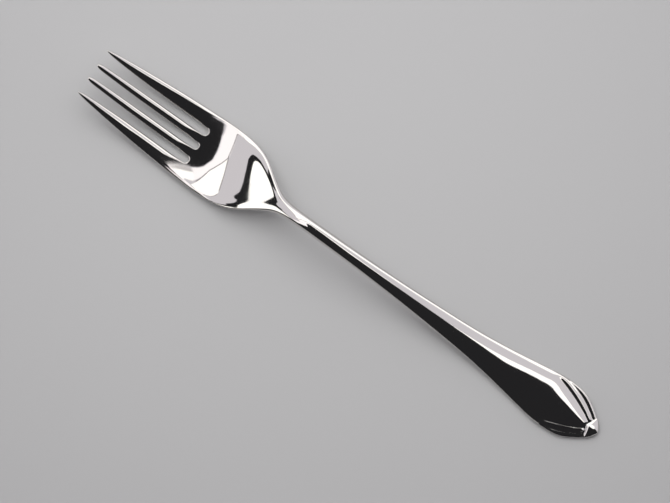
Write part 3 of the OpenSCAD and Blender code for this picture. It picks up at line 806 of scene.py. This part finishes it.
# %% [markdown]
# ## The cards one by one
#
# The curtain's upper edge is one line of two parts, and the lit strips start along the same line,
# so the steel shows a sharp change from black to white there, such as the long edge along the
# handle. Steel that leans up the picture mirrors the panel above, and steel that leans to the left
# mirrors the panel on the left. The dark post stands between these two, and the palm shows it as a
# dark loop.

# %% Cards
EDGE_LEFT = [(-.97, -.22), (-.62, -.31), (-.42, -.36), (-.121, -.09), (-.08, -.045),
             (-.035, .052), (.008, .082), (.045, .093)]
EDGE_RIGHT = [(.045, .093), (.079, .066), (.147, -.03), (.24, -.065), (.45, -.14), (.95, -.3)]
card("curtain_left", velvet, 1.2, EDGE_LEFT,
     [(-.98, -.26), (-.92, -.5), (-.82, -.65), (-.68, -.8), (-.5, -.93), (-.25, -1.02),
      (0, -1.05), (.2, -1.03)])
card("curtain_right", velvet, 1.2, EDGE_RIGHT,
     [(.2, -1.03), (.35, -.98), (.5, -.92), (.68, -.8), (.85, -.62), (1.0, -.32)])
card("strip_left", warm_paper, 1.5, EDGE_LEFT[2:],
     [(-.45, -.25), (-.190, -.06), (-.18, -.02), (-.162, .075), (-.032, .115), (.045, .155)])
card("strip_right", white_paper, 1.5, EDGE_RIGHT[:4],
     [(.045, .155), (.10, .115), (.165, .045), (.25, -.055)])
card("panel_above", white_paper, 1.6,
     [(-.22, .55), (-.209, .31), (-.182, .187), (-.157, .078), (-.028, .114), (.03, .162),
      (.18, .25), (.45, .29), (.8, .36)],
     [(-.21, .6), (-.19, .6), (-.15, .6), (-.1, .6), (-.03, .59), (.05, .58), (.2, .58),
      (.45, .64), (.75, .55)])
card("panel_left", white_paper, 1.6,
     [(-.52, -.45), (-.475, -.2), (-.465, .1), (-.475, .3), (-.49, .42), (-.50, .58)],
     [(-.93, -.4), (-1.0, -.3), (-1.04, .1), (-1.0, .3), (-.96, .42), (-.82, .65)])
# The poles glow with painted light, seen only in the steel
card("pole_left", glowing_pole, 1.4, [(-.187, -.05), (-.159, .065), (-.187, .187), (-.216, .32)],
     [(-.179, -.05), (-.151, .065), (-.179, .187), (-.206, .32)])
card("pole_across", glowing_pole, 1.4, [(-.157, .076), (-.028, .105), (.035, .158)],
     [(-.155, .085), (-.028, .113), (.029, .164)])
card("dark_post", velvet, 1.3,
     [(-.535, -.45), (-.495, -.3), (-.49, 0), (-.484, .2), (-.494, .27), (-.504, .33),
      (-.512, .36), (-.52, .39), (-.522, .43), (-.524, .45), (-.517, .485), (-.51, .56)],
     [(-.50, -.45), (-.456, -.2), (-.445, 0), (-.436, .14), (-.413, .19), (-.448, .32), (-.456, .36),
      (-.457, .395), (-.453, .422), (-.36, .443), (-.27, .47), (-.25, .53)])
card("velvet_hem", dull_velvet, 1.19, EDGE_LEFT[-3:] + EDGE_RIGHT[1:5],
     [(-.04, .02), (-.01, .04), (.035, .045), (.06, .02), (.13, -.06), (.22, -.10), (.44, -.18)])
card("dim_card", dim_paper, 0.6, [(.02, .095), (.018, .125)], [(.043, .09), (.047, .122)])

# %% [markdown]
# ## The light
#
# The room is pale all round, which fills the shadows. One soft round lamp hangs 0.4 m from the fork,
# about 25 degrees up the picture from straight above it. It makes the table brighter on that side
# and gives the fork a faint shadow. It is kept out of the steel, which would show it as a disc.

# %% Light
world = bpy.data.worlds.new("pale_room")
bpy.context.scene.world = world
world.use_nodes = True
world.node_tree.nodes["Background"].inputs["Color"].default_value = linear("#EEEBF1")

LAMP_SIZE, LAMP_DISTANCE = 0.5, 0.4      # in metres
LAMP_WATTS, LAMP_SPREAD_DEG = 0.6, 100
lamp_data = bpy.data.lights.new("window_lamp", "AREA")
lamp_data.shape = "DISK"
lamp_data.size = LAMP_SIZE
lamp_data.energy = LAMP_WATTS
lamp_data.spread = math.radians(LAMP_SPREAD_DEG)
lamp = bpy.data.objects.new("window_lamp", lamp_data)
bpy.context.scene.collection.objects.link(lamp)
lamp_back = towards([(-.03, .22)])[0]
lamp_side = np.cross(UP, lamp_back) / np.linalg.norm(np.cross(UP, lamp_back))
placed = np.eye(4)
placed[:3, 0], placed[:3, 1], placed[:3, 2] = lamp_side, np.cross(lamp_back, lamp_side), lamp_back
placed[:3, 3] = TABLE + LAMP_DISTANCE * lamp_back
lamp.matrix_world = Matrix(placed.tolist())
lamp.visible_glossy = False
bpy.context.scene.view_settings.view_transform = "Standard"
print("lamp at", np.round(placed[:3, 3], 3).tolist())
